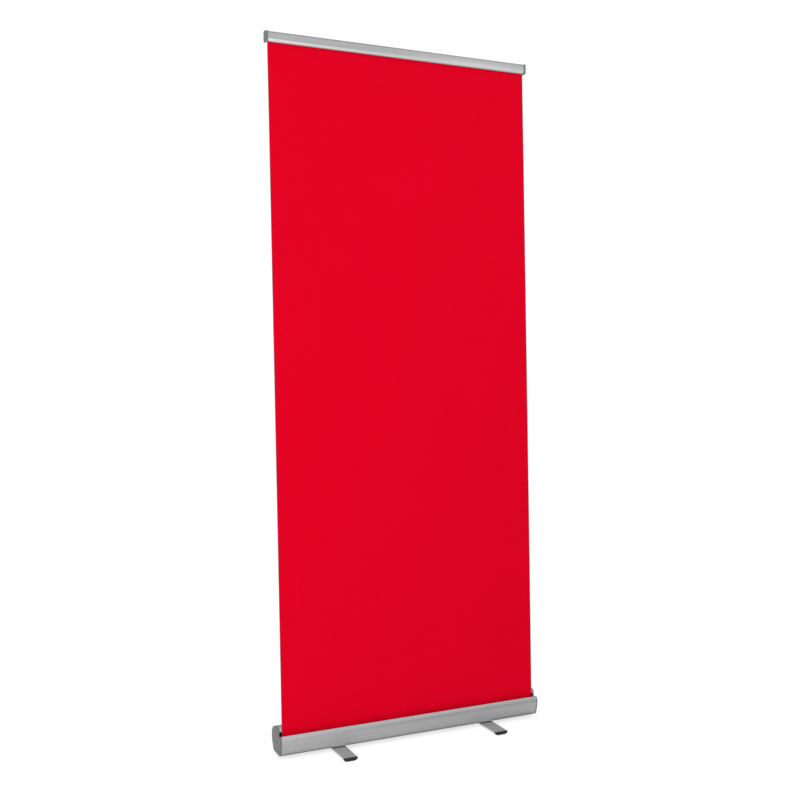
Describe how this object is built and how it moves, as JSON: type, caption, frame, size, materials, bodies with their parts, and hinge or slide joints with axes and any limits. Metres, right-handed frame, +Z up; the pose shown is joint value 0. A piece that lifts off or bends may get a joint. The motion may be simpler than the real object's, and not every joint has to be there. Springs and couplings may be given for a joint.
{
  "type": "roll-up banner stand",
  "caption": "Roll-up banner stand: cassette base with a sprung roller, printed graphic, clamp top rail, sectional support pole and swivel feet.",
  "frame": {"origin": "on the floor, below the middle of the base", "axes": "+X along the base, towards the right seen from the front; +Y to the back; +Z up"},
  "size_m": [0.87, 0.256, 2.1021],
  "materials": {
    "anodised_silver": "satin anodised extrusion with fine lengthwise lines",
    "cap_grey": "fine-textured grey moulding",
    "graphic_red": "smooth matt printed banner film",
    "rubber_black": "matt black rubber",
    "nylon_white": "natural nylon",
    "nylon_black": "black nylon",
    "zinc_steel": "zinc-plated steel",
    "spring_steel": "oiled spring steel",
    "cord_black": "braided elastic cord"
  },
  "bodies": {
    "base": {"base_housing": "anodised_silver", "end_cap_left": "cap_grey", "end_cap_right": "cap_grey", "end_cap_screw_top_left": "zinc_steel", "end_cap_screw_front_left": "zinc_steel", "end_cap_screw_rear_left": "zinc_steel", "end_cap_screw_top_right": "zinc_steel", "end_cap_screw_front_right": "zinc_steel", "end_cap_screw_rear_right": "zinc_steel", "foot_bolt_left": "zinc_steel", "foot_nut_left": "zinc_steel", "foot_plate_left": "zinc_steel", "foot_washer_left": "nylon_white", "foot_bolt_right": "zinc_steel", "foot_nut_right": "zinc_steel", "foot_plate_right": "zinc_steel", "foot_washer_right": "nylon_white", "idler_pin_left": "zinc_steel", "spring_axle": "zinc_steel", "spring_anchor": "nylon_black", "torsion_spring": "spring_steel", "pole_socket": "nylon_black", "pole_socket_screw": "zinc_steel"},
    "roller": {"roller_tube": "anodised_silver", "roller_plug_left": "nylon_white", "roller_bush_right": "nylon_white", "banner_roll": "graphic_red"},
    "top_rail": {"top_rail_back": "anodised_silver", "top_rail_cap_left": "cap_grey", "top_rail_cap_right": "cap_grey", "banner_graphic": "graphic_red"},
    "rail_jaw": {"top_rail_jaw": "anodised_silver"},
    "pole_lower": {"pole_foot_plug": "nylon_black", "pole_lower_tube": "anodised_silver", "pole_lower_ferrule": "zinc_steel", "shock_cord": "cord_black"},
    "pole_middle": {"pole_middle_tube": "anodised_silver", "pole_middle_ferrule": "zinc_steel"},
    "pole_upper": {"pole_upper_tube": "anodised_silver", "pole_top_plug": "nylon_black", "pole_top_clip": "nylon_black"},
    "foot_left": {"foot_bar_left": "anodised_silver", "foot_cap_left_front": "rubber_black", "foot_cap_left_rear": "rubber_black"},
    "foot_right": {"foot_bar_right": "anodised_silver", "foot_cap_right_front": "rubber_black", "foot_cap_right_rear": "rubber_black"}
  },
  "joints": [
    {"name": "foot_left_swivel", "type": "hinge", "parent": "base", "child": "foot_left", "pos_m": [-0.251, 0, 0.005], "axis": [0, 0, 1], "range_deg": [0, 90]},
    {"name": "foot_right_swivel", "type": "hinge", "parent": "base", "child": "foot_right", "pos_m": [0.251, 0, 0.005], "axis": [0, 0, -1], "range_deg": [0, 90]},
    {"name": "rail_slide", "type": "slide", "parent": "base", "child": "top_rail", "axis": [0, 0.0349, 0.9994], "range_m": [-1.98, 0], "deforming": ["banner_graphic", "pole_top_clip"]},
    {"name": "roller_spin", "type": "hinge", "parent": "base", "child": "roller", "pos_m": [0, -0.00476, 0.044], "axis": [1, 0, 0], "range_deg": [0, 6303.54]},
    {"name": "jaw_hinge", "type": "hinge", "parent": "top_rail", "child": "rail_jaw", "pos_m": [0, 0.04071, 2.09648], "axis": [-1, 0, 0], "range_deg": [0, 60]},
    {"name": "pole_lift", "type": "slide", "parent": "base", "child": "pole_lower", "axis": [0, 0.021, 0.9998], "range_m": [0, 0.065]},
    {"name": "pole_lower_joint", "type": "slide", "parent": "pole_lower", "child": "pole_middle", "axis": [0, 0.021, 0.9998], "range_m": [0, 0.055]},
    {"name": "pole_upper_joint", "type": "slide", "parent": "pole_middle", "child": "pole_upper", "axis": [0, 0.021, 0.9998], "range_m": [0, 0.055]}
  ],
  "couplings": [
    {"joint": "roller_spin", "follows": "rail_slide", "rad_per_m": -55.556}
  ]
}
